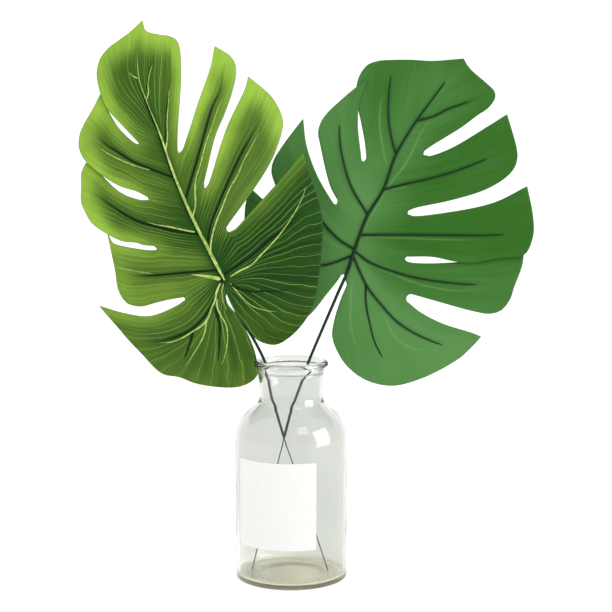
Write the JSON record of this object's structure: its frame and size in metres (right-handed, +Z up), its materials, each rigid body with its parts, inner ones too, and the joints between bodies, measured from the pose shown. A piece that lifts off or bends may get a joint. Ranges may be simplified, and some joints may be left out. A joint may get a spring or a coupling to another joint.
{
  "type": "artificial monstera leaves in a glass bottle vase",
  "caption": "Split-lobed artificial monstera leaves on wired stems, standing crossed in a clear glass bottle vase with a blank paper label.",
  "frame": {"origin": "centre of the vase's flat foot, on the surface it stands on", "axes": "+Z up along the vase's axis, -Y towards the viewer of the leaves, +X to the viewer's right"},
  "size_m": [0.4126, 0.1027, 0.5047],
  "materials": {
    "glass": "clear blown glass with a faint grey-green tint",
    "label_paper": "blank white uncoated paper",
    "left_blade_plastic": "printed soft plastic, satin",
    "rib_plastic": "moulded dark green plastic, satin",
    "right_blade_plastic": "plain back of the soft plastic blade, satin",
    "stem_wire": "dark lacquered steel wire"
  },
  "bodies": {
    "root": {"vase": "glass", "label": "label_paper", "left_leaf_blade": "left_blade_plastic", "left_leaf_ribs": "rib_plastic", "left_leaf_wire": "stem_wire", "right_leaf_blade": "right_blade_plastic", "right_leaf_ribs": "rib_plastic", "right_leaf_wire": "stem_wire"}
  },
  "joints": []
}
